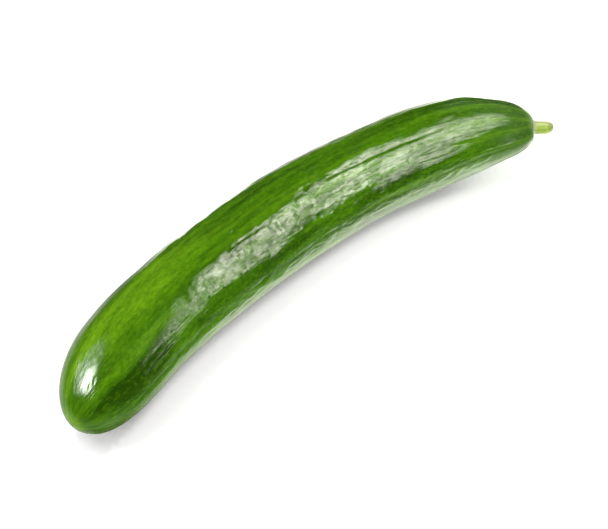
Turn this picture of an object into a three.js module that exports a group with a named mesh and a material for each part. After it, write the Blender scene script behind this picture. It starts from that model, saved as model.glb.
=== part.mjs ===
import * as THREE from 'three';

// A long greenhouse cucumber with a stub of its stem, lying on its side.
// Millimetres, +Z up. The fruit is first shaped straight and then bent. Along it, s runs from
// 0 at the blossom end to 1 at the stem end. Round it, angle 0 is the top, and a quarter turn
// is the side on the inside of the bend.

// Driving dimensions
const fruitLength = 300;
const radiusStations = [
  [0, 21.7], [0.12, 23.0], [0.3, 23.8], [0.5, 24.2], [0.7, 23.0], [0.88, 24.3], [1, 24.5],
];
const blossomCap = { reach: 0.15, fullness: 2.2 };
const stemCap = { reach: 0.31, fullness: 2.16 };
const bendTerms = [-0.276, -0.233, -0.433, 0.269];
const endLift = { blossom: 0.5, stem: 2.7, starts: 0.3 };
const restingPress = 0.45;

// Lengthwise ribs and the shallow lumps and dents between them
const ribs = [
  { count: 8, height: 0.1, phase: 0.6, drift: 1.3 },
  { count: 13, height: 0.19, phase: 2.1, drift: -1.6 },
  { count: 17, height: 0.1, phase: 4.4, drift: 2.2 },
];
const ribFade = { blossom: 0.16, stem: 0.03 };
const lumps = { seed: 11, count: 90, height: 0.42, along: [6, 15], round: [5, 10], fade: 0.1 };

// The stem leaves a little to one side of the fruit's tip, from a shallow pit
const stemRoot = { offset: 1.4, angle: 1.9 };
const pit = { floorRadius: 4.3, rimRadius: 7.5, depth: 0.8 };
const stem = {
  length: 10.8, collarRadius: 3.8, baseRadius: 3.1, tipRadius: 2.55, collarLength: 3,
  ridges: 5, ridgeHeight: 0.16, cutSlant: 3.2, cutAngle: 0.9, cutDish: 0.35,
  heading: [-0.71, -0.8], pitch: [-0.05, 0.06],
};
const gap = 0.3;

// Fineness of the faceted surfaces
const fruitRings = { blossom: 9, middle: 52, stem: 13, blossomShare: 0.07, stemShare: 0.1 };
const fruitSides = 72;
const stemRings = 9;
const stemSides = 20;
const cutRing = 0.55;
const middleLineSteps = 600;
const stemLineSteps = 40;

function clamp01(value) {
  return Math.min(Math.max(value, 0), 1);
}

function smooth(value) {
  const t = clamp01(value);
  return t * t * (3 - 2 * t);
}

// A smooth curve through [place, value] stations
function throughStations(stations, place) {
  const last = stations.length - 1;
  const slopeAt = (i) => {
    const before = stations[Math.max(i - 1, 0)];
    const after = stations[Math.min(i + 1, last)];
    return (after[1] - before[1]) / (after[0] - before[0]);
  };
  let i = 0;
  while (i < last - 1 && place > stations[i + 1][0]) i++;
  const span = stations[i + 1][0] - stations[i][0];
  const t = (place - stations[i][0]) / span;
  const rise = stations[i + 1][1] - stations[i][1];
  const startSlope = slopeAt(i) * span;
  const endSlope = slopeAt(i + 1) * span;
  const bow = (startSlope - rise) * (1 - t) - (endSlope - rise) * t;
  return stations[i][1] + rise * t + bow * t * (1 - t);
}

function roundedEnd(share, fullness) {
  return Math.pow(1 - Math.pow(1 - clamp01(share), fullness), 1 / fullness);
}

function bodyRadius(s) {
  return throughStations(radiusStations, s);
}

function plainRadius(s) {
  const atBlossom = roundedEnd(s / blossomCap.reach, blossomCap.fullness);
  const atStem = roundedEnd((1 - s) / stemCap.reach, stemCap.fullness);
  return bodyRadius(s) * atBlossom * atStem;
}

// The middle line of the fruit: its heading in the ground plane, its height and its course
function heading(s) {
  const u = 2 * s - 1;
  return bendTerms.reduce((sum, term, i) => sum + term * Math.pow(u, i + 1), 0);
}

function middleHeight(s) {
  const u = 2 * s - 1;
  const run = (v) => Math.pow(clamp01((v - endLift.starts) / (1 - endLift.starts)), 2);
  return bodyRadius(s) + endLift.blossom * run(-u) + endLift.stem * run(u);
}

function makeMiddleLine() {
  const steps = middleLineSteps;
  const points = [new THREE.Vector2(0, 0)];
  for (let i = 0; i < steps; i++) {
    const course = heading((i + 0.5) / steps);
    const step = new THREE.Vector2(Math.cos(course), Math.sin(course));
    points.push(points[i].clone().addScaledVector(step, fruitLength / steps));
  }
  const centre = points[steps / 2].clone();
  return (s) => {
    const place = clamp01(s) * steps;
    const i = Math.min(Math.floor(place), steps - 1);
    const ground = points[i].clone().lerp(points[i + 1], place - i).sub(centre);
    return new THREE.Vector3(ground.x, ground.y, middleHeight(clamp01(s)));
  };
}

const middleLine = makeMiddleLine();

// A random number from 0 to 1 for each call, the same on every run
function seededRandom(seed) {
  let state = seed;
  return () => {
    state = (state * 16807) % 2147483647;
    return state / 2147483647;
  };
}

function scatterLumps() {
  const random = seededRandom(lumps.seed);
  const between = ([low, high]) => low + (high - low) * random();
  return Array.from({ length: lumps.count }, () => ({
    s: random(),
    angle: 2 * Math.PI * random(),
    height: lumps.height * (2 * random() - 1),
    along: between(lumps.along),
    round: between(lumps.round),
  }));
}

const lumpList = scatterLumps();

function ribHeight(s, angle) {
  const fade = smooth(s / ribFade.blossom) * smooth((1 - s) / ribFade.stem);
  const wave = ({ count, height, phase, drift }) => height * Math.cos(count * angle + phase + drift * s);
  return fade * ribs.reduce((sum, rib) => sum + wave(rib), 0);
}

function lumpHeight(s, angle) {
  const fade = smooth(s / lumps.fade) * smooth((1 - s) / lumps.fade);
  const radius = bodyRadius(s);
  return fade * lumpList.reduce((sum, lump) => {
    const turn = Math.atan2(Math.sin(angle - lump.angle), Math.cos(angle - lump.angle));
    const along = (s - lump.s) * fruitLength / lump.along;
    const round = turn * radius / lump.round;
    return sum + lump.height * Math.exp(-along * along - round * round);
  }, 0);
}

// Turns a profile of [radius, along] into a solid of revolution and moves each of its points
function shapedLathe(profile, sides, place) {
  const outline = profile.map(([radius, along]) => new THREE.Vector2(radius, along));
  const geometry = new THREE.LatheGeometry(outline, sides);
  const position = geometry.attributes.position;
  for (let i = 0; i < position.count; i++) {
    const radius = Math.hypot(position.getX(i), position.getZ(i));
    const angle = Math.atan2(position.getX(i), position.getZ(i));
    const point = place(radius, angle, position.getY(i));
    position.setXYZ(i, point.x, point.y, point.z);
  }
  geometry.computeVertexNormals();
  return geometry;
}

function direction(course, pitch) {
  const flat = Math.cos(pitch);
  return new THREE.Vector3(flat * Math.cos(course), flat * Math.sin(course), Math.sin(pitch));
}

// A point at a distance and angle from a middle line that heads along course and pitch
function beside(middle, course, pitch, radius, angle) {
  const side = direction(course - Math.PI / 2, 0);
  const over = new THREE.Vector3().crossVectors(side, direction(course, pitch));
  return middle.clone()
    .addScaledVector(over, radius * Math.cos(angle))
    .addScaledVector(side, radius * Math.sin(angle));
}

function fruitStations() {
  const { blossom, middle, stem: atStem, blossomShare, stemShare } = fruitRings;
  const places = [];
  for (let i = 0; i < blossom; i++) places.push(blossomShare * Math.pow(i / blossom, 2));
  for (let i = 0; i < middle; i++) places.push(blossomShare + (1 - blossomShare - stemShare) * i / middle);
  for (let i = 0; i <= atStem; i++) places.push(1 - stemShare * Math.pow(1 - i / atStem, 2));
  return places;
}

function findStemRoot() {
  const share = Math.pow(stemRoot.offset / bodyRadius(1), stemCap.fullness);
  const s = 1 - stemCap.reach * (1 - Math.pow(1 - share, 1 / stemCap.fullness));
  return beside(middleLine(s), heading(s), 0, stemRoot.offset, stemRoot.angle);
}

const rootPoint = findStemRoot();
const rootDirection = direction(stem.heading[0], stem.pitch[0]);

// Lowers a point near the stem's root to the flat floor of the pit
function sinkIntoPit(point) {
  const out = point.clone().sub(rootPoint);
  const above = out.dot(rootDirection);
  const away = Math.sqrt(Math.max(out.lengthSq() - above * above, 0));
  const share = smooth((pit.rimRadius - away) / (pit.rimRadius - pit.floorRadius));
  return point.clone().addScaledVector(rootDirection, -share * Math.max(above + pit.depth, 0));
}

function fruitGeometry() {
  const profile = fruitStations().map((s) => [plainRadius(s), s * fruitLength]);
  return shapedLathe(profile, fruitSides, (radius, angle, along) => {
    const s = along / fruitLength;
    const relief = radius > 0 ? ribHeight(s, angle) + lumpHeight(s, angle) : 0;
    const point = sinkIntoPit(beside(middleLine(s), heading(s), 0, radius + relief, angle));
    point.z = Math.max(point.z - restingPress, 0);
    return point;
  });
}

function blend([start, end], t) {
  return start + (end - start) * t;
}

// The stub's middle line leaves the pit square to its floor and bends on a little
function stemMiddle(along) {
  const steps = stemLineSteps;
  const point = rootPoint.clone().addScaledVector(rootDirection, gap - pit.depth);
  point.z -= restingPress;
  for (let i = 0; i < steps; i++) {
    const t = (along / stem.length) * (i + 0.5) / steps;
    point.addScaledVector(direction(blend(stem.heading, t), blend(stem.pitch, t)), along / steps);
  }
  return point;
}

function stemRadius(t) {
  const collar = 1 - smooth(t * stem.length / stem.collarLength);
  const shaft = stem.baseRadius + (stem.tipRadius - stem.baseRadius) * t;
  return shaft + (stem.collarRadius - stem.baseRadius) * collar;
}

function stemGeometry() {
  const profile = [[0, 0]];
  for (let i = 0; i <= stemRings; i++) {
    const t = i / stemRings;
    profile.push([stemRadius(t), stem.length * t]);
  }
  profile.push([stemRadius(1) * cutRing, stem.length]);
  profile.push([0, stem.length]);
  return shapedLathe(profile, stemSides, (radius, angle, along) => {
    const t = along / stem.length;
    const ridge = stem.ridgeHeight * Math.cos(stem.ridges * angle) * radius / stem.baseRadius;
    const slant = stem.cutSlant * 0.5 * (1 + Math.cos(angle - stem.cutAngle) * radius / stem.tipRadius);
    const dish = stem.cutDish * (1 - clamp01(radius / stem.tipRadius)) * (t === 1 ? 1 : 0);
    const lengthened = along - slant * smooth((t - 0.4) / 0.6) - dish;
    const at = lengthened / stem.length;
    const course = blend(stem.heading, at);
    const pitch = blend(stem.pitch, at);
    return beside(stemMiddle(lengthened), course, pitch, radius + ridge, angle);
  });
}

function skinMaterial() {
  return new THREE.MeshStandardMaterial({ color: 0x46791a, roughness: 0.3, metalness: 0 });
}

function stemMaterial() {
  return new THREE.MeshStandardMaterial({ color: 0xb4cf5c, roughness: 0.5, metalness: 0 });
}

function namedMesh(name, geometry, material) {
  const mesh = new THREE.Mesh(geometry, material);
  mesh.name = name;
  return mesh;
}

const group = new THREE.Group();
group.add(namedMesh('fruit', fruitGeometry(), skinMaterial()));
group.add(namedMesh('stem', stemGeometry(), stemMaterial()));

// The origin is at the middle of the footprint, on the surface the fruit lies on
const box = new THREE.Box3().setFromObject(group);
const footprint = box.getCenter(new THREE.Vector3());
group.position.set(-footprint.x, -footprint.y, -box.min.z);

export default group;
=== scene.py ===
import math
import bpy
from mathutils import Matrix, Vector, noise


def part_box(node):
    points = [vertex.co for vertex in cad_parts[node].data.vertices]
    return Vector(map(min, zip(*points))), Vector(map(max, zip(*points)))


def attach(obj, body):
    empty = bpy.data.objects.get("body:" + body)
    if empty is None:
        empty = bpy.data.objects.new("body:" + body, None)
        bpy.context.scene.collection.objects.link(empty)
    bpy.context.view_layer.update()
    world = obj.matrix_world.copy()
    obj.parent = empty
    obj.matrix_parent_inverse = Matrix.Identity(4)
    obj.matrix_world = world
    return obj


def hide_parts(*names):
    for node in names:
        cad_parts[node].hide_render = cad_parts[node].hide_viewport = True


# A long greenhouse cucumber with a stub of its stem, lying on a pale studio floor.
# The shaping works in millimetres and is turned into metres when a point is stored.

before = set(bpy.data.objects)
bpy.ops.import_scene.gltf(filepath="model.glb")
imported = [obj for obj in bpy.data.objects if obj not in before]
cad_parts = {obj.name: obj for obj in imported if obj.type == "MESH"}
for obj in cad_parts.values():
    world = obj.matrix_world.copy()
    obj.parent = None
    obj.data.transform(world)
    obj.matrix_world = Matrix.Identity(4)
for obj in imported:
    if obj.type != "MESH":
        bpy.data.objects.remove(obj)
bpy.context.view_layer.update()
millimetre = 0.001
print("frame loaded with nodes", sorted(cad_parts))


def clamp01(value):
    return min(max(value, 0.0), 1.0)


def smooth(value):
    t = clamp01(value)
    return t * t * (3 - 2 * t)


def between(low, high, value):
    # 0 below low, 1 above high and a soft step from one to the other
    return smooth((value - low) / (high - low))


def zone(edges, value):
    # 1 between two soft edges and 0 outside them
    rise, fall = edges
    return between(*rise, value) * (1 - between(*fall, value))


def within(pair, t):
    return pair[0] + (pair[1] - pair[0]) * t


def direction(course, pitch):
    return Vector((math.cos(pitch) * math.cos(course), math.cos(pitch) * math.sin(course), math.sin(pitch)))


def deselectAll():
    if bpy.context.object and bpy.context.object.mode != "OBJECT":
        bpy.ops.object.mode_set(mode="OBJECT")
    bpy.ops.object.select_all(action="DESELECT")


def pick(made):
    deselectAll()
    made.select_set(True)
    bpy.context.view_layer.objects.active = made


def nameActive(name):
    made = bpy.context.active_object
    made.name = name
    made.data.name = name
    return made


def addAttributes(mesh, **kinds):
    # all are made before any is looked up, because a new one can move the others
    for name, kind in kinds.items():
        mesh.attributes.new(name, kind, "POINT")
    return [mesh.attributes[name].data for name in kinds]


view = {
    "azimuth": -42.07,      # degrees round the fruit, 0 looks along +Y
    "elevation": 50.0,
    "distance": 0.756,
    "target": (0.00297, -0.00008, -0.00045),
    "focalPixels": 1500.0,
    "framePixels": 608.0,
    "sensorWidth": 36.0,
    "clip": (0.01, 50),
}


def addCamera():
    azimuth = math.radians(view["azimuth"])
    back = direction(azimuth - math.pi / 2, math.radians(view["elevation"]))
    deselectAll()
    bpy.ops.object.camera_add(
        location=Vector(view["target"]) + back * view["distance"],
        rotation=(-back).to_track_quat("-Z", "Y").to_euler(),
    )
    camera = nameActive("camera")
    camera.data.sensor_width = view["sensorWidth"]
    camera.data.lens = view["focalPixels"] * view["sensorWidth"] / view["framePixels"]
    camera.data.clip_start, camera.data.clip_end = view["clip"]
    bpy.context.scene.camera = camera


addCamera()
print("camera placed")


class Wire:
    # one output of a node, so that sums are written as plain expressions
    def __init__(self, tree, socket):
        self.tree = tree
        self.socket = socket

    def sum(self, operation, *values):
        made = self.tree.nodes.new("ShaderNodeMath")
        made.operation = operation
        for plug, value in zip(made.inputs, values):
            if isinstance(value, Wire):
                self.tree.links.new(value.socket, plug)
            else:
                plug.default_value = value
        return Wire(self.tree, made.outputs[0])

    def __add__(self, other):
        return self.sum("ADD", self, other)

    def __radd__(self, other):
        return self.sum("ADD", other, self)

    def __sub__(self, other):
        return self.sum("SUBTRACT", self, other)

    def __rsub__(self, other):
        return self.sum("SUBTRACT", other, self)

    def __mul__(self, other):
        return self.sum("MULTIPLY", self, other)

    def __rmul__(self, other):
        return self.sum("MULTIPLY", other, self)

    def __truediv__(self, other):
        return self.sum("DIVIDE", self, other)

    def __rtruediv__(self, other):
        return self.sum("DIVIDE", other, self)

    def size(self):
        return self.sum("ABSOLUTE", self)


class Finish:
    # a material or world under construction, built node by node
    def __init__(self, owner):
        self.owner = owner
        owner.use_nodes = True
        self.tree = owner.node_tree
        self.tree.nodes.clear()

    def node(self, kind, settings=None, sockets=None, give=0):
        made = self.tree.nodes.new(kind)
        for key, value in (settings or {}).items():
            setattr(made, key, value)
        for key, value in (sockets or {}).items():
            if isinstance(value, Wire):
                self.tree.links.new(value.socket, made.inputs[key])
            else:
                made.inputs[key].default_value = value
        return Wire(self.tree, made.outputs[give]) if made.outputs else made

    def attribute(self, name, give="Fac"):
        return self.node("ShaderNodeAttribute", {"attribute_name": name}, give=give)

    def parts(self, vector):
        made = self.node("ShaderNodeSeparateXYZ", None, {0: vector}).socket.node
        return [Wire(self.tree, output) for output in made.outputs]

    def stretched(self, vector, along):
        return self.node("ShaderNodeMapping", None, {"Vector": vector, "Scale": (1, 1, along)})

    def grain(self, vector, along, scale, detail, roughness):
        sockets = {"Vector": self.stretched(vector, along), "Scale": scale}
        sockets.update({"Detail": detail, "Roughness": roughness})
        return self.node("ShaderNodeTexNoise", None, sockets, "Fac")

    def step(self, value, low, high):
        # soft step from 0 at low to 1 at high
        sockets = {"Value": value, "From Min": low, "From Max": high}
        return self.node("ShaderNodeMapRange", {"interpolation_type": "SMOOTHSTEP"}, sockets)

    def zone(self, value, edges):
        # 1 between two soft edges and 0 outside them
        rise, fall = edges
        return self.step(value, *rise) * (1 - self.step(value, *fall))

    def blend(self, share, first, second):
        sockets = {0: share, 6: first, 7: second}
        return self.node("ShaderNodeMix", {"data_type": "RGBA"}, sockets, 2)

    def bump(self, height, distance):
        return self.node("ShaderNodeBump", None, {"Height": height, "Distance": distance})

    def surface(self, sockets):
        shader = self.node("ShaderNodeBsdfPrincipled", None, sockets)
        self.node("ShaderNodeOutputMaterial", None, {"Surface": shader})
        return self.owner


# The fruit. Places along it run from 0 at the blossom tip to 1 at the stem. Angles round it are
# degrees from the top, and 90 is the inside of the bend. Heights and widths are millimetres.

fruit = {
    "length": 300.0,
    "radiusStations": [
        (0, 21.7), (0.12, 23.0), (0.3, 23.8), (0.5, 24.2), (0.7, 23.0), (0.88, 24.3), (1, 24.5),
    ],
    "blossomCap": (0.15, 2.2),   # reach along the fruit, fullness
    "stemCap": (0.31, 2.16),
    "bendTerms": (-0.276, -0.233, -0.433, 0.269),
    "liftStarts": 0.3,
    "blossomLift": 0.5,
    "stemLift": 2.7,
    "restingPress": 0.45,
    "middleSteps": 600,
    "segments": 224,
    "rings": 420,
    "endShare": 0.05,            # part of the length at each end that has closer rings
    # count round the fruit, height, phase, drift along it
    "ribs": [(8, 0.08, 0.6, 1.3), (13, 0.06, 2.1, -1.6), (17, 0.03, 4.4, 2.2)],
    "ribFade": {"blossom": 0.16, "stem": 0.03},
    "lumps": {
        "seed": 11, "count": 90, "height": 0.42, "along": (6, 15), "round": (5, 10),
        "fade": 0.1, "reach": 2.6,
    },
    # fuller shoulders by the stem: place, angle, height, length and width
    "shoulders": [
        (0.965, -60, 1.1, 11, 16), (0.92, 112, 1.0, 15, 11), (0.885, -55, 1.2, 8, 12),
        (0.90, 8, 0.9, 21, 13), (0.89, 66, -1.2, 24, 12), (0.97, 104, 1.2, 9, 14),
    ],
    "shoulderFade": 0.03,
    # the stem end is blunter on the inner side of the bend
    "cheek": {"angle": 100, "spread": 42, "push": 3.0, "places": (0.90, 0.985), "stemSide": (3.2, 8.0)},
    # furrows, and ridges where the depth is below zero: place and angle of the start,
    # place and angle of the end, depth, width
    "furrows": [
        (0.36, -4, 0.70, 1, 0.36, 1.2),
        (0.30, 9, 0.52, 10, 0.20, 1.0),
        (0.20, -24, 0.62, -20, 0.13, 1.5),
        (0.10, -16, 0.34, -12, 0.14, 1.1),
        (0.57, 19, 0.83, 23, 0.34, 1.0),
        (0.80, 28, 0.95, 30, 0.28, 0.8),
        (0.74, 46, 0.845, 50, 0.52, 1.9),
        (0.51, 9, 0.95, 10, -0.50, 3.8),
        (0.81, 43, 0.97, 37, -0.50, 4.2),
        (0.36, 23, 0.45, 25, 0.24, 0.8),
        (0.36, 29, 0.43, 31, 0.20, 0.8),
        (0.55, 33, 0.72, 36, 0.16, 0.8),
        (0.60, 42, 0.80, 40, 0.16, 0.8),
        (0.05, 82, 0.30, 80, 0.34, 1.4),
        (0.02, 88, 0.30, 86, -0.30, 1.6),
        (0.34, 79, 0.60, 83, 0.24, 1.2),
        (0.60, 80, 0.95, 84, 0.30, 1.4),
    ],
    "backFurrows": {
        "seed": 5, "count": 11, "angles": (110, 290), "turn": 10,
        "depth": (0.12, 0.24), "width": (0.8, 1.5),
        "firstStart": 0.05, "startSpread": 0.6, "leastReach": 0.15, "moreReach": 0.35, "lastEnd": 0.95,
    },
    "furrowEnds": (0.03, 0.04),     # how far a furrow fades beyond its end and before it
    "furrowWander": (1.4, 22, 50),  # degrees, changes along the fruit, shift from furrow to furrow
    # the tint along furrows and creases is partly the skin's darker lines and partly painted shade in the
    # hollows
    "deepFurrow": 0.3,              # a furrow this deep is fully tinted
    # creases across the fruit: place, angle, half length along and across, depth
    "creases": [
        (0.458, 36, 1.6, 4.6, 0.16),
        (0.345, 29, 2.8, 2.4, 0.36),
        (0.395, 40, 1.8, 3.2, 0.14),
        (0.300, 42, 1.6, 2.8, 0.24),
        (0.265, 33, 2.2, 3.4, 0.12),
    ],
    "creaseReach": 0.04,
    # stripes of colour and painted shade, darker where the strength is below zero: angle, half width, start,
    # end, strength. The dark entries at 58 and 100 are painted shade: on the inner flank by the blossom tip,
    # there partly the skin's own darker green, and on the lower flank inside the bend. The dark entry at 66
    # darkens the inner flank along most of the fruit.
    "stripes": [
        (-8, 26, 0.05, 0.42, 0.52),
        (-25, 7, 0.00, 0.50, 0.60),
        (8, 7, 0.16, 0.36, 0.40),
        (34, 8, 0.00, 0.26, 0.60),
        (-46, 9, 0.00, 0.14, 0.60),
        # painted shade on the inner flank by the blossom tip, partly the skin's own darker green
        (58, 19, 0.00, 0.27, -1.15),
        (66, 13, 0.20, 1.10, -0.55),
        # painted shade on the lower flank inside the bend
        (100, 14, 0.25, 1.00, -0.50),
        (82, 6, 0.00, 0.24, 0.25),
        (110, 9, 0.00, 0.34, 0.60),
        (141, 8, 0.00, 0.26, 0.55),
        (156, 6, 0.00, 0.50, -0.50),
        (172, 10, 0.00, 0.42, 0.75),
        (201, 8, 0.00, 0.32, 0.60),
        (216, 6, 0.00, 0.45, -0.50),
        (232, 10, 0.00, 0.36, 0.75),
        (262, 8, 0.00, 0.28, 0.60),
        (290, 8, 0.00, 0.34, 0.50),
    ],
    # each entry, stripe and painted shade alike, starts softly from a little before to a little after its
    # start, and fades from this share of its length to its end
    "stripeEnds": (0.01, 0.06, 0.4),
    # the stripes and the painted shade wander: degrees, size of the wave across and along, its shift
    "stripeWander": [(6.0, 14, 40, 2.2), (3.0, 5, 14, 4.4)],
    # the lines of colour meet a little to the outer side of the tip, in a paler patch
    "tip": {"reach": 0.10, "shift": 7.5, "patch": (1.5, 9.0), "pale": 0.9},
}

# The fine relief of the skin. Each pattern has its size across and along, its shift and height.

wrinkle = {
    "seed": 12,
    "wave": (13.0, 19.0, 7.3, 0.40),         # slow unevenness all over
    "wavePlaces": ((0.02, 0.16), (0.86, 1.0)),
    "blob": (7.5, 10.0, 3.1, 0.34),          # soft blobs round the middle
    "blobPlaces": ((0.14, 0.34), (0.60, 0.82)),
    "warpSize": 9.0, "warpReach": 2.0,
    "cellSize": 7.5, "cellLength": 0.75,     # creased cells over the blobs
    "cellValley": (0.06, 0.19), "cellRim": (0.04, 0.34, 0.16),
    "streak": (2.1, 15.0, 11.7, 0.13),       # long lines towards the stem
    "wideStreak": (4.62, 24.0, 1.7, 0.13),
    "streakPlaces": ((0.40, 0.62), (0.84, 0.98)),
    "tipStreak": 0.35, "tipStreakPlaces": ((0.0, 0.1), (0.2, 0.4)),
    "crossing": (2.0, 7.0, 5.5, 0.11),       # crossing lines near the tip
    "crossingPlaces": ((0.015, 0.04), (0.13, 0.20)), "crossingAngles": (20, 40),
    "string": (3.0, 10.0, 9.1, 0.34),        # wavy strings on the flanks
    "stringPlaces": ((0.04, 0.3), (0.80, 0.98)), "stringAngles": (66, 80),
    "underside": (90, 99), "undersideCalm": 0.75,
    "calmAngles": (50, 60), "calm": 0.55,    # the flank inside the bend is smoother
}


def throughStations(stations, place):
    last = len(stations) - 1

    def slopeAt(i):
        before = stations[max(i - 1, 0)]
        after = stations[min(i + 1, last)]
        return (after[1] - before[1]) / (after[0] - before[0])

    i = 0
    while i < last - 1 and place > stations[i + 1][0]:
        i += 1
    span = stations[i + 1][0] - stations[i][0]
    t = (place - stations[i][0]) / span
    rise = stations[i + 1][1] - stations[i][1]
    bow = (slopeAt(i) * span - rise) * (1 - t) - (slopeAt(i + 1) * span - rise) * t
    return stations[i][1] + rise * t + bow * t * (1 - t)


def roundedEnd(share, fullness):
    return (1 - (1 - clamp01(share)) ** fullness) ** (1 / fullness)


def bodyRadius(s):
    return throughStations(fruit["radiusStations"], s)


def plainRadius(s):
    blossomReach, blossomFullness = fruit["blossomCap"]
    stemReach, stemFullness = fruit["stemCap"]
    blossomEnd = roundedEnd(s / blossomReach, blossomFullness)
    return bodyRadius(s) * blossomEnd * roundedEnd((1 - s) / stemReach, stemFullness)


def heading(s):
    u = 2 * s - 1
    return sum(term * u ** (i + 1) for i, term in enumerate(fruit["bendTerms"]))


def middleHeight(s):
    u = 2 * s - 1
    starts = fruit["liftStarts"]
    towardsBlossom = clamp01((-u - starts) / (1 - starts)) ** 2
    towardsStem = clamp01((u - starts) / (1 - starts)) ** 2
    return bodyRadius(s) + fruit["blossomLift"] * towardsBlossom + fruit["stemLift"] * towardsStem


def makeMiddleLine():
    steps = fruit["middleSteps"]
    points = [Vector((0, 0))]
    for i in range(steps):
        course = heading((i + 0.5) / steps)
        points.append(points[i] + Vector((math.cos(course), math.sin(course))) * fruit["length"] / steps)
    centre = points[steps // 2].copy()

    def middleLine(s):
        place = clamp01(s) * steps
        i = min(int(place), steps - 1)
        ground = points[i].lerp(points[i + 1], place - i) - centre
        return Vector((ground.x, ground.y, middleHeight(clamp01(s))))

    return middleLine


middleLine = makeMiddleLine()


def beside(middle, course, pitch, radius, angle):
    # a point at a distance and angle from a middle line that heads along course and pitch
    side = direction(course - math.pi / 2, 0)
    over = side.cross(direction(course, pitch))
    return middle + over * radius * math.cos(angle) + side * radius * math.sin(angle)


def turnFrom(angle, other):
    # the shorter way round from one angle to another
    return math.atan2(math.sin(angle - other), math.cos(angle - other))


def seededRandom(seed):
    state = seed
    while True:
        state = (state * 16807) % 2147483647
        yield state / 2147483647


def scatterLumps():
    lumps = fruit["lumps"]
    draw = seededRandom(lumps["seed"])
    made = []
    for i in range(lumps["count"]):
        s = next(draw)
        angle = 2 * math.pi * next(draw)
        height = lumps["height"] * (2 * next(draw) - 1)
        along = within(lumps["along"], next(draw))
        across = within(lumps["round"], next(draw))
        made.append((s, angle, height, along, across))
    return made


def scatterFurrows():
    back = fruit["backFurrows"]
    draw = seededRandom(back["seed"])
    made = []
    for i in range(back["count"]):
        start = back["firstStart"] + back["startSpread"] * next(draw)
        end = min(start + back["leastReach"] + back["moreReach"] * next(draw), back["lastEnd"])
        angle = within(back["angles"], (i + next(draw)) / back["count"])
        depth = within(back["depth"], next(draw))
        width = within(back["width"], next(draw))
        made.append((start, angle, end, angle + back["turn"] * (next(draw) - 0.5), depth, width))
    return made


noise.seed_set(wrinkle["seed"])   # without it the noise vectors start from the clock
lumpList = scatterLumps()
furrowList = fruit["furrows"] + scatterFurrows()


def nearLumps(s):
    reach = fruit["lumps"]["reach"]
    return [lump for lump in lumpList if abs(s - lump[0]) * fruit["length"] < reach * lump[3]]


def broadRelief(s, angle, close):
    fade = smooth(s / fruit["ribFade"]["blossom"]) * smooth((1 - s) / fruit["ribFade"]["stem"])
    height = 0
    for count, tall, phase, drift in fruit["ribs"]:
        height += fade * tall * math.cos(count * angle + phase + drift * s)
    fade = smooth(s / fruit["lumps"]["fade"]) * smooth((1 - s) / fruit["lumps"]["fade"])
    radius = bodyRadius(s)
    for lumpS, lumpAngle, tall, long, wide in close:
        along = (s - lumpS) * fruit["length"] / long
        across = turnFrom(angle, lumpAngle) * radius / wide
        height += fade * tall * math.exp(-along * along - across * across)
    fade = smooth((1 - s) / fruit["shoulderFade"])
    for place, placeAngle, tall, long, wide in fruit["shoulders"]:
        along = (s - place) * fruit["length"] / long
        across = turnFrom(angle, math.radians(placeAngle)) * radius / wide
        height += fade * tall * math.exp(-along * along - across * across)
    return height


def straightPoint(s, angle):
    # where a point of the skin lies before the fruit is bent and its ends are closed
    radius = bodyRadius(s)
    return Vector((radius * math.sin(angle), radius * math.cos(angle), s * fruit["length"]))


def stretchedNoise(point, wide, long, shift):
    return noise.noise(Vector((point.x / wide + shift, point.y / wide, point.z / long)))


def softWaves(point, name):
    across, along, shift, height = wrinkle[name]
    return height * stretchedNoise(point, across, along, shift)


def ridgeLines(point, name):
    # rounded ridges with narrow valleys between them
    across, along, shift, height = wrinkle[name]
    return height * (0.5 - 2 * abs(stretchedNoise(point, across, along, shift)))


def furrowDepth(s, angle):
    depthHere = 0
    beyond, before = fruit["furrowEnds"]
    wanderAngle, wanderAlong, wanderShift = fruit["furrowWander"]
    for start, startAngle, end, endAngle, depth, width in furrowList:
        if start - beyond < s < end + beyond:
            share = clamp01((s - start) / (end - start))
            wander = wanderAngle * noise.noise(Vector((s * wanderAlong, start * wanderShift, 0)))
            centre = math.radians(startAngle + (endAngle - startAngle) * share + wander)
            across = turnFrom(angle, centre) * bodyRadius(s) / width
            fade = zone(((start - beyond, start + before), (end - before, end + beyond)), s)
            depthHere += depth * fade * math.exp(-across * across)
    for place, placeAngle, along, across, depth in fruit["creases"]:
        if abs(s - place) < fruit["creaseReach"]:
            down = (s - place) * fruit["length"] / along
            over = turnFrom(angle, math.radians(placeAngle)) * bodyRadius(s) / across
            depthHere += depth * math.exp(-down * down - over * over)
    return depthHere


def cellRelief(point):
    # flat cells with a raised rim and a narrow valley between them
    cellPoint = point / wrinkle["cellSize"]
    cellPoint.z *= wrinkle["cellLength"]
    distances = noise.voronoi(cellPoint)[0]
    gap = distances[1] - distances[0]
    depth, valleyWidth = wrinkle["cellValley"]
    rise, rimPlace, rimWidth = wrinkle["cellRim"]
    rim = rise * math.exp(-((gap - rimPlace) / rimWidth) ** 2)
    return rim - depth * math.exp(-(gap / valleyWidth) ** 2)


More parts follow.
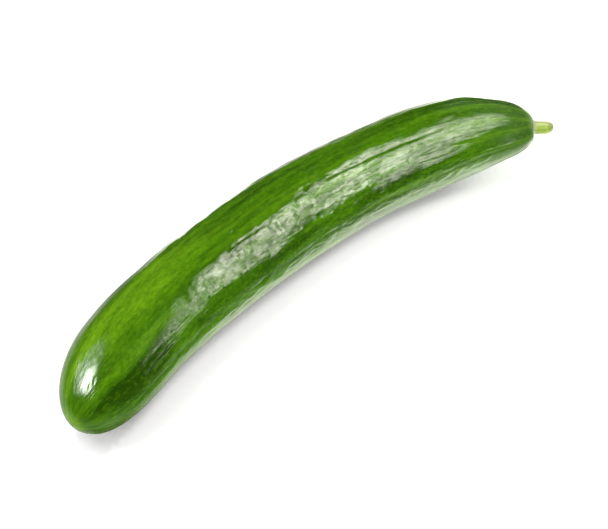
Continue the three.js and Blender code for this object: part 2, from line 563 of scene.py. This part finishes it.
def fineRelief(s, angle):
    point = straightPoint(s, angle)
    warped = point + noise.noise_vector(point / wrinkle["warpSize"]) * wrinkle["warpReach"]
    streaked = zone(wrinkle["streakPlaces"], s) + wrinkle["tipStreak"] * zone(wrinkle["tipStreakPlaces"], s)
    height = zone(wrinkle["wavePlaces"], s) * softWaves(point, "wave")
    height += zone(wrinkle["blobPlaces"], s) * (softWaves(point, "blob") + cellRelief(warped))
    height += streaked * (softWaves(warped, "streak") + softWaves(point, "wideStreak"))
    height *= 1 - wrinkle["calm"] * between(*wrinkle["calmAngles"], math.degrees(angle))
    turned = abs(math.degrees(angle))
    onTop = 1 - between(*wrinkle["crossingAngles"], turned)
    height += onTop * zone(wrinkle["crossingPlaces"], s) * ridgeLines(warped, "crossing")
    flank = between(*wrinkle["stringAngles"], turned)
    flank *= 1 - wrinkle["undersideCalm"] * between(*wrinkle["underside"], turned)
    height += flank * zone(wrinkle["stringPlaces"], s) * ridgeLines(warped, "string")
    return height - furrowDepth(s, angle)


def stripeShare(s, angle):
    point = straightPoint(s, angle)
    wander = sum(turn * stretchedNoise(point, *wave) for turn, *wave in fruit["stripeWander"])
    before, after, full = fruit["stripeEnds"]
    share = 0
    for centre, width, start, end, strength in fruit["stripes"]:
        across = math.degrees(turnFrom(angle, math.radians(centre + wander))) / width
        if abs(across) < 3:
            fade = zone(((start - before, start + after), (within((start, end), full), end)), s)
            share += strength * fade * math.exp(-across * across)
    return max(-1.0, min(1.0, share))


def patternPlace(s, angle):
    # the place and the paleness that the colours of the skin go by; the paleness runs below zero for dark
    # stripes and for painted shade
    tip = fruit["tip"]
    near = 1 - between(0.0, tip["reach"], s)
    across = plainRadius(s) * math.sin(angle) + tip["shift"] * near
    over = plainRadius(s) * math.cos(angle)
    turned = math.atan2(across, over)
    pale = tip["pale"] * near * (1 - between(*tip["patch"], math.hypot(across, over)))
    return straightPoint(s, turned), stripeShare(s, turned) + pale


# The stem stands in a shallow pit, so the fruit needs its values too.

stem = {
    "rootOffset": 1.4, "rootAngle": 1.9,      # from the fruit's middle line
    "pitFloor": 3.9, "pitRim": 6.5, "pitDepth": 0.4,
    "length": 12.85, "rooted": 1.75,          # the root reaches into the fruit
    "collarRadius": 4.6, "collarLength": 3.4,
    "baseRadius": 3.5, "tipRadius": 3.1,
    "ridges": 5, "ridgeHeight": 0.16,
    "cutSlant": 2.6, "cutAngle": 0.9, "cutSwell": 0.7, "cutRounding": 1.0,
    "slantStarts": 0.4, "roundingStarts": 0.70,
    "heading": (-0.71, -0.8), "pitch": (-0.05, 0.06),
    "sides": 96, "rings": 60, "capRings": 12, "lineSteps": 40,
    "sharpAngle": 40,
}


def findStemRoot():
    reach, fullness = fruit["stemCap"]
    share = (stem["rootOffset"] / bodyRadius(1)) ** fullness
    s = 1 - reach * (1 - (1 - share) ** (1 / fullness))
    return beside(middleLine(s), heading(s), 0, stem["rootOffset"], stem["rootAngle"])


rootPoint = findStemRoot()
rootDirection = direction(stem["heading"][0], stem["pitch"][0])


def fillCheek(point, s, angle):
    cheek = fruit["cheek"]
    if s < cheek["places"][0]:
        return point
    turned = math.degrees(turnFrom(angle, math.radians(cheek["angle"]))) / cheek["spread"]
    out = point - rootPoint
    away = (out - rootDirection * out.dot(rootDirection)).length
    share = between(*cheek["places"], s) * between(*cheek["stemSide"], away)
    return point + rootDirection * cheek["push"] * share * math.exp(-turned * turned)


def sinkIntoPit(point):
    out = point - rootPoint
    above = out.dot(rootDirection)
    away = math.sqrt(max(out.length_squared - above * above, 0))
    share = smooth((stem["pitRim"] - away) / (stem["pitRim"] - stem["pitFloor"]))
    return point - rootDirection * share * max(above + stem["pitDepth"], 0)


def ringPlace(t):
    # spreads the rings evenly along the middle and closes them up towards both poles
    share = fruit["endShare"]
    slope = 1 + 2 * share
    reach = 2 * share / slope
    if t < reach:
        return share * (t / reach) ** 2
    if t > 1 - reach:
        return 1 - share * ((1 - t) / reach) ** 2
    return share + (t - reach) * slope


def addFruit():
    deselectAll()
    bpy.ops.mesh.primitive_uv_sphere_add(segments=fruit["segments"], ring_count=fruit["rings"], radius=1)
    made = nameActive("cucumberFruit")
    mesh = made.data
    straight, stripe, furrow = addAttributes(mesh, straight="FLOAT_VECTOR", stripe="FLOAT", furrow="FLOAT")
    closeLumps = {}
    for vertex in mesh.vertices:
        t = 1 - math.acos(max(-1.0, min(1.0, vertex.co.z))) / math.pi
        ring = round(t * fruit["rings"])
        s = clamp01(ringPlace(ring / fruit["rings"]))
        angle = math.atan2(-vertex.co.x, vertex.co.y)
        if ring not in closeLumps:
            closeLumps[ring] = nearLumps(s)
        radius = plainRadius(s)
        relief = broadRelief(s, angle, closeLumps[ring]) + fineRelief(s, angle) if radius > 0.01 else 0
        point = fillCheek(beside(middleLine(s), heading(s), 0, radius + relief, angle), s, angle)
        point = sinkIntoPit(point)
        point.z = max(point.z - fruit["restingPress"], 0)
        vertex.co = point * millimetre
        patternPoint, paleness = patternPlace(s, angle)
        straight[vertex.index].vector = patternPoint * millimetre
        stripe[vertex.index].value = paleness
        furrow[vertex.index].value = clamp01(furrowDepth(s, angle) / fruit["deepFurrow"])
    return made


cucumber = addFruit()
print("fruit shaped,", len(cucumber.data.vertices), "points")


def placeOnFrame(made):
    # the shaping starts from the fruit's middle, the frame from the middle of the footprint
    low, high = [Vector(corner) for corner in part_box("fruit")]
    ownLow = Vector([min(vertex.co[i] for vertex in made.data.vertices) for i in range(3)])
    ownHigh = Vector([max(vertex.co[i] for vertex in made.data.vertices) for i in range(3)])
    shift = (low + high - ownLow - ownHigh) / 2
    shift.z = low.z - ownLow.z
    return shift


def moveMesh(made):
    for vertex in made.data.vertices:
        vertex.co += frameShift


frameShift = placeOnFrame(cucumber)
moveMesh(cucumber)
pick(cucumber)
bpy.ops.object.shade_smooth()
print("shift to the frame in millimetres", [round(value / millimetre, 3) for value in frameShift])


def stemMiddle(along):
    point = rootPoint + rootDirection * (-stem["rooted"] - stem["pitDepth"])
    point.z -= fruit["restingPress"]
    for i in range(stem["lineSteps"]):
        t = along / stem["length"] * (i + 0.5) / stem["lineSteps"]
        course = within(stem["heading"], t)
        point += direction(course, within(stem["pitch"], t)) * along / stem["lineSteps"]
    return point


def stemRadius(t):
    collar = 1 - smooth(t * stem["length"] / stem["collarLength"])
    shaft = stem["baseRadius"] + (stem["tipRadius"] - stem["baseRadius"]) * t
    shrunk = stem["cutRounding"] * between(stem["roundingStarts"], 1.0, t) ** 2
    return shaft + (stem["collarRadius"] - stem["baseRadius"]) * collar - shrunk


def selectEdges(mesh, isWanted):
    bpy.ops.object.mode_set(mode="EDIT")
    bpy.ops.mesh.select_mode(type="EDGE")
    bpy.ops.mesh.select_all(action="DESELECT")
    bpy.ops.object.mode_set(mode="OBJECT")
    for edge in mesh.edges:
        edge.select = isWanted(*[mesh.vertices[i].co for i in edge.vertices])
    bpy.ops.object.mode_set(mode="EDIT")


def addStem():
    deselectAll()
    bpy.ops.mesh.primitive_cylinder_add(
        vertices=stem["sides"], radius=1, depth=1, end_fill_type="TRIFAN", location=(0, 0, 0.5))
    made = nameActive("cucumberStem")
    bpy.ops.object.transform_apply(location=True, rotation=False, scale=False)
    mesh = made.data
    # rings round the shaft, then rings on both end faces
    selectEdges(mesh, lambda low, high: abs(low.z - high.z) > 0.5)
    bpy.ops.mesh.subdivide(number_cuts=stem["rings"] - 1)
    selectEdges(mesh, lambda inner, outer: abs(inner.to_2d().length - outer.to_2d().length) > 0.5)
    bpy.ops.mesh.subdivide(number_cuts=stem["capRings"] - 1)
    bpy.ops.object.mode_set(mode="OBJECT")
    straight, = addAttributes(mesh, straight="FLOAT_VECTOR")
    for vertex in mesh.vertices:
        share = min(vertex.co.to_2d().length, 1.0)
        angle = math.atan2(-vertex.co.x, vertex.co.y)
        t = clamp01(vertex.co.z)
        radius = stemRadius(t) * share
        ridge = stem["ridgeHeight"] * math.cos(stem["ridges"] * angle) * radius / stem["baseRadius"]
        downhill = math.cos(angle - stem["cutAngle"]) * radius / stem["tipRadius"]
        slant = stem["cutSlant"] * 0.5 * (1 + downhill)
        swell = stem["cutSwell"] * (1 - share * share) if t > 0.999 else 0
        slanted = smooth((t - stem["slantStarts"]) / (1 - stem["slantStarts"]))
        reached = stem["length"] * t - slant * slanted + swell
        course = within(stem["heading"], reached / stem["length"])
        pitch = within(stem["pitch"], reached / stem["length"])
        vertex.co = beside(stemMiddle(reached), course, pitch, radius + ridge, angle) * millimetre
        straight[vertex.index].vector = Vector((share * math.sin(angle), share * math.cos(angle), t))
    return made


stemStub = addStem()
moveMesh(stemStub)
pick(stemStub)
bpy.ops.object.shade_smooth_by_angle(angle=math.radians(stem["sharpAngle"]))
print("stem shaped,", len(stemStub.data.vertices), "points")

# The finishes. Both read the "straight" attribute, so their patterns follow the bend.

skinFinish = {
    "green": (0.080, 0.245, 0.0030, 1),
    "light": (0.215, 0.480, 0.0085, 1),
    "dark": (0.022, 0.080, 0.0020, 1),
    "deep": (0.020, 0.070, 0.0015, 1),
    "lime": (0.34, 0.52, 0.07, 1),       # the blossom tip
    "dusty": (0.056, 0.140, 0.020, 1),   # the shoulder by the stem
    "throat": (0.17, 0.27, 0.05, 1),     # close round the stem
    # grains of the colour, the relief and the wax: stretch along the fruit, scale, detail, roughness
    "mottle": (0.22, 130, 4, 0.65),
    "patch": (0.22, 60, 3, 0.6),
    "fleck": (0.5, 1100, 3, 0.7),
    "fibre": (0.12, 900, 2, 0.6),
    "streak": (0.05, 230, 2, 0.5),
    "speckle": (0.55, 480, 3, 0.7),
    "striation": (0.08, 800, 2, 0.55),
    "crumple": (0.45, 330, 2, 0.5),
    "island": (0.6, 165, 2, 0.5),
    "groove": (0.12, 330, 2, 0.5),
    # each tint: where it begins, where it is full, and how much of it is laid on
    "blotchAndShadeDark": (0.38, 0.92, 1.0),
    # the pale stripes are the skin's own; the dark stripe tint also lays on painted shade by the blossom tip
    # and on the lower flank inside the bend
    "stripeLight": (-0.02, 1.1, 1.0), "stripeDeep": (-0.35, -1.0, 0.6),
    # the furrow tint is partly the skin's darker lines and partly painted shade in the hollows
    "fibreDeep": (0.46, 0.72, 0.40), "furrowLineAndShade": (0.1, 1.0, 0.38),
    "streakDeep": (0.50, 0.68, 0.42), "streakLight": (0.48, 0.30, 0.28),
    "streakPlaces": (0.10, 0.45, 0.75),
    "speckleDeep": (0.50, 0.68, 0.28), "speckleLight": (0.50, 0.34, 0.20),
    "dustyPlaces": (0.86, 0.985, 0.8), "throatPlaces": (0.978, 0.995, 0.6),
    "limeTip": (0.7, 1.4, 0.35), "limePlaces": (0.05, 0.01),
    # fine lines near the tip, which fade into softer crumples
    "crumplePlaces": (0.12, 0.32), "lineFade": 0.60, "crumpleHeight": (0.25, 0.05),
    "reliefDepth": 0.00022,
    # where the wax is thin: a net of cells, islands, grooves, flecks and the inner flank by the tip
    "netScale": 140.0, "netStretch": 0.8, "netBend": 0.005, "netBendScale": 260.0,
    "netWear": (0.16, 0.02, 0.48), "netPlaces": ((0.16, 0.34), (0.55, 0.75)),
    "islandWear": (0.46, 0.60, 0.62), "islandPlaces": (0.08, 0.24), "islandsLess": (0.55, 0.75, 0.5),
    "grooveWear": (0.07, 0.0, 0.66), "groovePlaces": (0.48, 0.66),
    "fleckWear": (0.44, 0.60, 0.5), "fleckPlaces": ((0.06, 0.20), (0.26, 0.40)),
    "flankWear": (0.004, 0.010, 0.5), "flankPlaces": (0.37, 0.20),
    "wornAbove": (-0.003, 0.005), "wornInside": (-0.004, 0.004),
    "shoulderWear": (0.72, 0.94, 0.55), "throatWear": (0.975, 0.992, 0.8),
    "roughness": 0.10, "mottleRough": 0.08,
    "shoulderRough": (0.78, 0.95, 0.10), "throatRough": (0.975, 0.992, 0.3),
    "skinIor": 1.26, "waxIor": 1.37, "waxRoughness": 0.10,
}


def makeSkin():
    skin = Finish(bpy.data.materials.new("cucumberSkin"))
    straight = skin.attribute("straight", "Vector")
    stripe = skin.attribute("stripe")
    furrow = skin.attribute("furrow")
    side, over, along = skin.parts(straight)
    s = along / (fruit["length"] * millimetre)

    def grain(name, vector=straight):
        return skin.grain(vector, *skinFinish[name])

    def share(value, name):
        start, full, most = skinFinish[name]
        return skin.step(value, start, full) * most

    def tint(colour, name, amount):
        return skin.blend(amount, colour, skinFinish[name])

    # greens: dark blotches, pale stripes, dark stripes with painted shade, fibres, furrows with painted
    # shade, streaks and speckles, then the two ends
    mottle = grain("mottle")
    fleck = grain("fleck")
    # the dark stripe entries feed the blotches too, so these also carry painted shade
    blotchAndShade = grain("patch") - stripe * 0.5 + (fleck - 0.5) + (mottle - 0.5) * 0.8
    paleness = stripe + (mottle - 0.5) * 1.5 + (fleck - 0.5) * 1.5
    colour = tint(skinFinish["green"], "dark", share(blotchAndShade, "blotchAndShadeDark"))
    colour = tint(colour, "light", share(paleness, "stripeLight"))
    colour = tint(colour, "deep", share(grain("fibre"), "fibreDeep"))
    # darker along furrows and creases: partly the skin's darker lines, partly painted shade in the hollows
    colour = tint(colour, "deep", share(furrow, "furrowLineAndShade"))
    colour = tint(colour, "dusty", share(s, "dustyPlaces"))
    # darker where the stripes run below zero: the skin's own dark stripes, and painted shade by the blossom
    # tip and on the lower flank inside the bend
    colour = tint(colour, "deep", share(stripe, "stripeDeep"))
    streak = grain("streak")
    streaked = share(s, "streakPlaces") + 0.25
    colour = tint(colour, "deep", share(streak, "streakDeep") * streaked)
    colour = tint(colour, "light", share(streak, "streakLight") * streaked)
    speckle = grain("speckle")
    colour = tint(colour, "deep", share(speckle, "speckleDeep"))
    colour = tint(colour, "light", share(speckle, "speckleLight"))
    colour = tint(colour, "throat", share(s, "throatPlaces"))
    colour = tint(colour, "lime", share(stripe, "limeTip") * skin.step(s, *skinFinish["limePlaces"]))

    crumpled = skin.step(s, *skinFinish["crumplePlaces"])
    crumpleHeight, crumpleFade = skinFinish["crumpleHeight"]
    height = grain("striation") * (1 - crumpled * skinFinish["lineFade"])
    height = height + grain("crumple") * (crumpleHeight - crumpled * crumpleFade)
    normal = skin.bump(height, skinFinish["reliefDepth"])

    warpSockets = {"Vector": straight, "Scale": skinFinish["netBendScale"], "Detail": 2.0}
    warp = skin.node("ShaderNodeTexNoise", None, warpSockets, "Color")
    bentSockets = {0: warp, 1: (skinFinish["netBend"],) * 3, 2: straight}
    bent = skin.node("ShaderNodeVectorMath", {"operation": "MULTIPLY_ADD"}, bentSockets)
    netSockets = {"Vector": skin.stretched(bent, skinFinish["netStretch"]), "Scale": skinFinish["netScale"]}
    edge = skin.node("ShaderNodeTexVoronoi", {"feature": "DISTANCE_TO_EDGE"}, netSockets)
    net = share(edge, "netWear") * skin.zone(s, skinFinish["netPlaces"])
    island = share(grain("island", bent), "islandWear") * skin.step(s, *skinFinish["islandPlaces"])
    island = island * (1 - share(s, "islandsLess"))
    groove = share((grain("groove", bent) - 0.5).size(), "grooveWear")
    groove = groove * skin.step(s, *skinFinish["groovePlaces"])
    flecked = share(fleck, "fleckWear") * skin.zone(s, skinFinish["fleckPlaces"])
    flank = share(side, "flankWear") * skin.step(s, *skinFinish["flankPlaces"])
    worn = skin.step(over, *skinFinish["wornAbove"]) * skin.step(side, *skinFinish["wornInside"])
    thin = (net + island + groove + flecked + flank) * worn
    wax = (1 - thin) * (1 - share(s, "shoulderWear") * worn) * (1 - share(s, "throatWear"))
    rough = skinFinish["roughness"] + (mottle - 0.5) * skinFinish["mottleRough"]
    rough = rough + share(s, "shoulderRough") + share(s, "throatRough")
    return skin.surface({
        "Base Color": colour, "Roughness": rough, "IOR": skinFinish["skinIor"], "Normal": normal,
        "Coat Weight": wax, "Coat Roughness": skinFinish["waxRoughness"], "Coat IOR": skinFinish["waxIor"],
    })


stemFinish = {
    "pale": (0.52, 0.58, 0.20, 1),
    "ripe": (0.30, 0.45, 0.010, 1),
    "fibre": (0.30, 0.42, 0.05, 1),
    "cut": (0.21, 0.26, 0.03, 1),
    "root": (0.40, 0.48, 0.26, 1),
    "fibreGrain": (0.15, 9, 3, 0.6),
    "fibreTint": 0.4, "cutTint": 0.80, "rootTint": 0.85,
    "cutPlaces": (0.84, 0.97), "rootPlaces": (0.15, 0.27),
    "reliefDepth": 0.00015, "roughness": 0.4, "ior": 1.42,
}


def makeStem():
    flesh = Finish(bpy.data.materials.new("cutStem"))
    straight = flesh.attribute("straight", "Vector")
    side, over, along = flesh.parts(straight)
    fibre = flesh.grain(straight, *stemFinish["fibreGrain"])
    uneven = fibre - 0.5
    ripe = flesh.step(side - over * 0.35 + uneven * 0.4, 0.0, 0.22)
    colour = flesh.blend(ripe, stemFinish["pale"], stemFinish["ripe"])
    colour = flesh.blend(flesh.step(fibre, 0.5, 0.8) * stemFinish["fibreTint"], colour, stemFinish["fibre"])
    cut = flesh.step(along + uneven * 0.06, *stemFinish["cutPlaces"])
    colour = flesh.blend(cut * stemFinish["cutTint"], colour, stemFinish["cut"])
    root = 1 - flesh.step(along + uneven * 0.03, *stemFinish["rootPlaces"])
    colour = flesh.blend(root * stemFinish["rootTint"], colour, stemFinish["root"])
    return flesh.surface({
        "Base Color": colour, "Roughness": stemFinish["roughness"], "IOR": stemFinish["ior"],
        "Normal": flesh.bump(fibre, stemFinish["reliefDepth"]),
    })


cucumber.data.materials.append(makeSkin())
stemStub.data.materials.append(makeStem())
print("finishes made")

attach(cucumber, "root")
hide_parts("fruit")
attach(stemStub, "root")
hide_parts("stem")

# The studio. Lamps light the skin, and glowing faces, a black card and a mirrored floor are seen
# only in its shine. Lamps and faces have their places in metres as the camera sees them: to the
# right, away, up.

studio = {
    "floorSize": 12.0,
    "floorDrop": 0.0001,
    "floorColour": (0.87, 0.84, 0.87, 1),
    "floorRoughness": 0.9,
    "floorShine": 0.50,
    "seenWorld": 1.0,
    "ambient": 0.55,
    "mirroredWorld": 0.02,
    "lineStations": 60,
    "faceGrid": (100, 90),
    "leastGlow": 0.15,     # share of a face's glow that its patches always leave
}


def fromCamera(right, away, up):
    azimuth = math.radians(view["azimuth"])
    return direction(azimuth, 0) * right + direction(azimuth + math.pi / 2, 0) * away + Vector((0, 0, up))


def onlyMirrored(made):
    made.visible_camera = False
    made.visible_diffuse = False
    made.visible_shadow = False
    made.visible_transmission = False
    made.visible_volume_scatter = False


def middleStations():
    # points of the middle line on the floor, with the direction to its inside and the place along it
    made = []
    for i in range(studio["lineStations"] + 1):
        s = i / studio["lineStations"]
        ground = middleLine(s) * millimetre + frameShift
        made.append((ground.to_2d(), direction(heading(s) - math.pi / 2, 0).to_2d(), s))
    return made


stations = middleStations()


def nearestStation(here):
    return min(stations, key=lambda station: (here - station[0]).length_squared)


def addFlatGrid(name, values):
    deselectAll()
    across, deep = values["grid"]
    bpy.ops.mesh.primitive_grid_add(
        x_subdivisions=across, y_subdivisions=deep, size=1, location=(0, 0, -values["drop"]))
    made = nameActive(name)
    made.scale = (*values["size"], 1)
    bpy.ops.object.transform_apply(location=True, rotation=True, scale=True)
    return made


def floorFinish(hasPaintedShadow):
    pale = Finish(bpy.data.materials.new("paleFloor"))
    shine = (1, 1, 1, 1)
    # close to the fruit the shine is painted darker, a painted contact shadow inside a paler painted tint of
    # the shade
    if hasPaintedShadow:
        shine = pale.blend(pale.attribute("around"), shine, contactFloor["aroundShine"])
        shine = pale.blend(pale.attribute("contact"), shine, contactFloor["contactShine"])
    return pale.surface({
        "Base Color": studio["floorColour"], "Roughness": studio["floorRoughness"],
        "Emission Color": shine, "Emission Strength": studio["floorShine"],
    })


def addFloor():
    deselectAll()
    bpy.ops.mesh.primitive_plane_add(size=studio["floorSize"], location=(0, 0, -studio["floorDrop"]))
    made = nameActive("studioFloor")
    bpy.ops.object.transform_apply(location=True, rotation=True, scale=True)
    made.data.materials.append(floorFinish(False))
    made.visible_glossy = False


# A painted contact shadow: the floor's own shine is painted darker close to the fruit, by distance in radii
# of the fruit, with a paler painted tint of the shade a little farther out.
contactFloor = {
    "size": (0.40, 0.18), "grid": (220, 100), "drop": 0.00008, "leastRadius": 9,
    "contactRadii": (0.57, 0.86), "contactShine": (0.30, 0.26, 0.33, 1),
    "aroundRadii": (0.7, 1.5), "aroundShine": (1.0, 0.92, 1.02, 1),
    "tipPlaces": (0.0, 0.10), "tipShare": 0.35, "stemPlaces": (0.80, 0.94),
}


def addPaintedShadowFloor():
    values = contactFloor
    made = addFlatGrid("contactFloor", values)
    contact, around = addAttributes(made.data, contact="FLOAT", around="FLOAT")
    for vertex in made.data.vertices:
        here = vertex.co.to_2d()
        ground, inside, s = nearestStation(here)
        away = (here - ground).length / millimetre / max(plainRadius(s), values["leastRadius"])
        ends = within((values["tipShare"], 1), between(*values["tipPlaces"], s))
        ends *= 1 - between(*values["stemPlaces"], s)
        # painted shadow and painted tint of the shade, weaker by the blossom tip and fading out towards the
        # stem
        contact[vertex.index].value = (1 - between(*values["contactRadii"], away)) * ends
        around[vertex.index].value = (1 - between(*values["aroundRadii"], away)) * ends
    made.data.materials.append(floorFinish(True))
    made.visible_glossy = False


def glowFinish(name, colour):
    # shines by the "glow" attribute and is clear where "cover" is 0
    made = Finish(bpy.data.materials.new(name))
    glow = made.attribute("glow")
    light = made.node("ShaderNodeEmission", None, {"Color": (*colour, 1), "Strength": glow})
    clear = made.node("ShaderNodeBsdfTransparent")
    mixed = made.node("ShaderNodeMixShader", None, {0: made.attribute("cover"), 1: clear, 2: light})
    made.node("ShaderNodeOutputMaterial", None, {"Surface": mixed})
    return made.owner


# Edges are soft at the front, far, lower and upper side, as shares of the face. Heart is the
# brightest place and the loss of glow away from it.
faces = [
    {"name": "softboxFace", "glow": 11.8, "colour": (1.0, 0.94, 0.87), "edges": (0.02, 0.14, 0.05, 0.05),
     "patches": 1.8, "patchSize": 0.034, "heart": (0.45, 0.50, 0.45),
     "corners": [(0.33, -0.19, 0.04), (0.33, 0.20, 0.25), (0.20, 0.21, 0.53), (0.20, -0.19, 0.50)]},
    {"name": "farWall", "glow": 0.25, "colour": (1.0, 1.0, 1.0), "edges": (0.3, 0.2, 0.3, 0.3),
     "patches": 0, "patchSize": 1, "heart": (0.5, 0.5, 0),
     "corners": [(0.44, 0.0, 0.0), (0.05, 0.90, 0.0), (0.05, 0.90, 0.8), (0.44, 0.0, 0.8)]},
    {"name": "keyHalo", "glow": 5.0, "colour": (1.0, 1.0, 1.0), "edges": (0.25, 0.25, 0.25, 0.25),
     "patches": 2.6, "patchSize": 0.06, "heart": (0.5, 0.5, 0),
     "corners": [(-1.40, -0.45, 0.6), (-1.40, 0.55, 0.6), (-0.20, 0.20, 0.6), (-0.08, -0.62, 0.6)]},
    {"name": "keyHeart", "glow": 40.0, "colour": (1.0, 1.0, 1.0), "edges": (0.42, 0.42, 0.40, 0.35),
     "patches": 0.9, "patchSize": 0.05, "heart": (0.5, 0.5, 0),
     "corners": [(-0.72, -0.50, 0.599), (-0.72, 0.02, 0.599), (-0.22, 0.02, 0.599),
                 (-0.22, -0.50, 0.599)]},
    {"name": "flagCard", "glow": 0.0, "colour": (0.0, 0.0, 0.0), "edges": (0.01, 0.06, 0.0, 0.01),
     "patches": 0, "patchSize": 1, "heart": (0.5, 0.5, 0),
     "corners": [(0.0, -0.40, 0.0), (0.0, -0.118, 0.0), (0.0, 0.176, 0.42), (0.0, -0.40, 0.42)]},
]


def addFace(face):
    deselectAll()
    across, up = studio["faceGrid"]
    bpy.ops.mesh.primitive_grid_add(x_subdivisions=across, y_subdivisions=up, size=1)
    made = nameActive(face["name"])
    glow, cover = addAttributes(made.data, glow="FLOAT", cover="FLOAT")
    lowFront, lowFar, highFar, highFront = [fromCamera(*corner) for corner in face["corners"]]
    front, far, low, high = [max(edge, 0.0001) for edge in face["edges"]]
    heartAcross, heartUp, fall = face["heart"]
    for vertex in made.data.vertices:
        across = vertex.co.x + 0.5
        up = vertex.co.y + 0.5
        below = lowFront.lerp(lowFar, across)
        above = highFront.lerp(highFar, across)
        vertex.co = below.lerp(above, up)
        apart = (across - heartAcross) ** 2 + (up - heartUp) ** 2
        uneven = 1 + face["patches"] * noise.noise(vertex.co / face["patchSize"])
        bright = (1 - fall * min(apart * 4, 1)) * max(uneven, studio["leastGlow"])
        glow[vertex.index].value = face["glow"] * bright
        sideways = smooth(across / front) * smooth((1 - across) / far)
        cover[vertex.index].value = sideways * smooth(up / low) * smooth((1 - up) / high)
    made.data.materials.append(glowFinish(face["name"], face["colour"]))
    onlyMirrored(made)


# The part of the floor that the skin mirrors. It fades to a dark studio between two distances from
# the fruit's middle line. Inside the bend its glow goes by distance and by place along the fruit,
# outside by place alone.
mirroredFloor = {
    "size": (0.56, 0.36), "grid": (110, 70), "drop": 0.00005, "tint": (0.97, 1.0, 0.86),
    "inside": (0.085, 0.130), "outside": (0.080, 0.200),
    "insideShare": [
        (0, 0.25), (0.02, 0.10), (0.07, 0.10), (0.20, 0.27), (0.35, 0.47), (0.45, 0.50), (0.65, 0.62),
        (0.85, 0.85), (0.93, 1.4), (1, 1.4),
    ],
    "insideGlow": [
        (0.0, 0.6), (0.017, 0.8), (0.021, 1.9), (0.026, 2.9), (0.036, 2.9), (0.044, 1.5), (0.060, 1.15),
        (0.080, 0.8), (0.2, 0.8),
    ],
    "outsideGlow": [
        (0, 0.45), (0.15, 0.60), (0.25, 0.50), (0.32, 0.25), (0.39, 0.90), (0.46, 2.0), (0.54, 2.3),
        (0.60, 0.65), (0.68, 0.75), (0.77, 0.75), (0.85, 1.1), (0.92, 1.8), (0.95, 3.6), (1, 4.5),
    ],
    "farthest": 0.199,
}


def addMirroredFloor():
    values = mirroredFloor
    made = addFlatGrid("mirroredFloor", values)
    glow, cover = addAttributes(made.data, glow="FLOAT", cover="FLOAT")
    for vertex in made.data.vertices:
        here = vertex.co.to_2d()
        ground, inside, s = nearestStation(here)
        gap = here - ground
        part = "inside" if gap.dot(inside) > 0 else "outside"
        cover[vertex.index].value = 1 - between(*values[part], gap.length)
        if part == "inside":
            share = throughStations(values["insideShare"], s)
            away = min(gap.length, values["farthest"])
            glow[vertex.index].value = throughStations(values["insideGlow"], away) * share
        else:
            glow[vertex.index].value = throughStations(values["outsideGlow"], s)
    made.data.materials.append(glowFinish("mirroredFloor", values["tint"]))
    onlyMirrored(made)


lamps = [
    {"name": "softboxGlow", "place": (0.30, 0.12, 0.26), "aim": (0.0, 0.10, 0.06), "size": (0.5, 0.42),
     "strength": 0.8},
    {"name": "keyGlow", "place": (-0.35, -0.12, 0.62), "aim": (-0.05, 0.0, 0.02), "size": (0.30, 0.30),
     "strength": 5.0},
]


def addLamp(lamp):
    place = fromCamera(*lamp["place"])
    toAim = fromCamera(*lamp["aim"]) - place
    width, height = lamp["size"]
    deselectAll()
    bpy.ops.object.light_add(type="AREA", location=place, rotation=toAim.to_track_quat("-Z", "Y").to_euler())
    made = nameActive(lamp["name"])
    made.data.shape = "RECTANGLE"
    made.data.size = width
    made.data.size_y = height
    made.data.energy = lamp["strength"] * math.pi * width * height
    made.visible_glossy = False


def setWorld():
    # white behind the floor, even light on all sides, and nearly black in the shine
    sky = Finish(bpy.data.worlds.new("studioWorld"))
    seen = sky.node("ShaderNodeLightPath", give="Is Camera Ray")
    mirrored = sky.node("ShaderNodeLightPath", give="Is Glossy Ray")
    strength = studio["ambient"] + seen * (studio["seenWorld"] - studio["ambient"])
    strength = strength + mirrored * (studio["mirroredWorld"] - studio["ambient"])
    background = sky.node("ShaderNodeBackground", None, {"Color": (1, 1, 1, 1), "Strength": strength})
    sky.node("ShaderNodeOutputWorld", None, {"Surface": background})
    bpy.context.scene.world = sky.owner


addFloor()
addPaintedShadowFloor()
addMirroredFloor()
for face in faces:
    addFace(face)
for lamp in lamps:
    addLamp(lamp)
setWorld()
bpy.context.scene.view_settings.view_transform = "Standard"
print("studio set")
